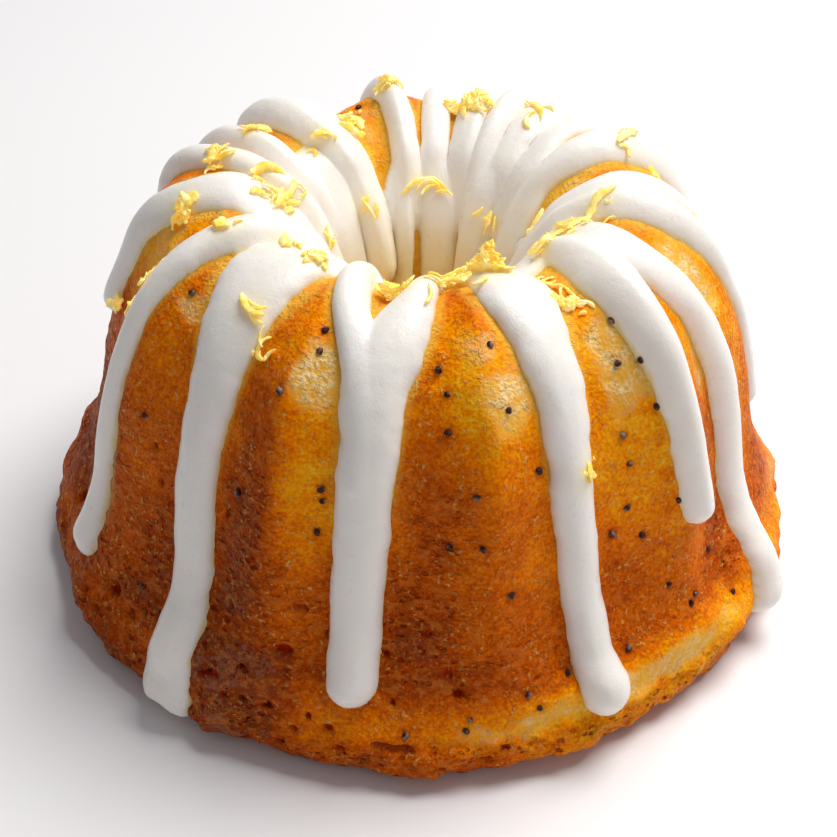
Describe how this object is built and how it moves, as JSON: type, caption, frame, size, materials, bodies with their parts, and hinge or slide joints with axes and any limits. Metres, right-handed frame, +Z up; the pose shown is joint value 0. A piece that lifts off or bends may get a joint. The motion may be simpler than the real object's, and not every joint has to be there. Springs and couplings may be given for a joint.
{
  "type": "small fluted ring pound cake",
  "caption": "Individual fluted ring pound cake with a central hole, thick white icing running down its flutes, shreds of lemon zest and poppy seeds in a golden crust.",
  "frame": {"origin": "middle of the base, on the surface that the cake rests on", "axes": "+Z up through the hole, -Y towards the front that the picture shows, +X to the right"},
  "size_m": [0.0994, 0.099, 0.0545],
  "materials": {
    "crust": "golden brown baked crust, matte and finely pitted",
    "icing": "set white icing, softly glossy",
    "zest": "moist lemon zest",
    "seeds": "dark poppy seed"
  },
  "bodies": {
    "root": {"pound_cake": "crust"}
  },
  "joints": []
}
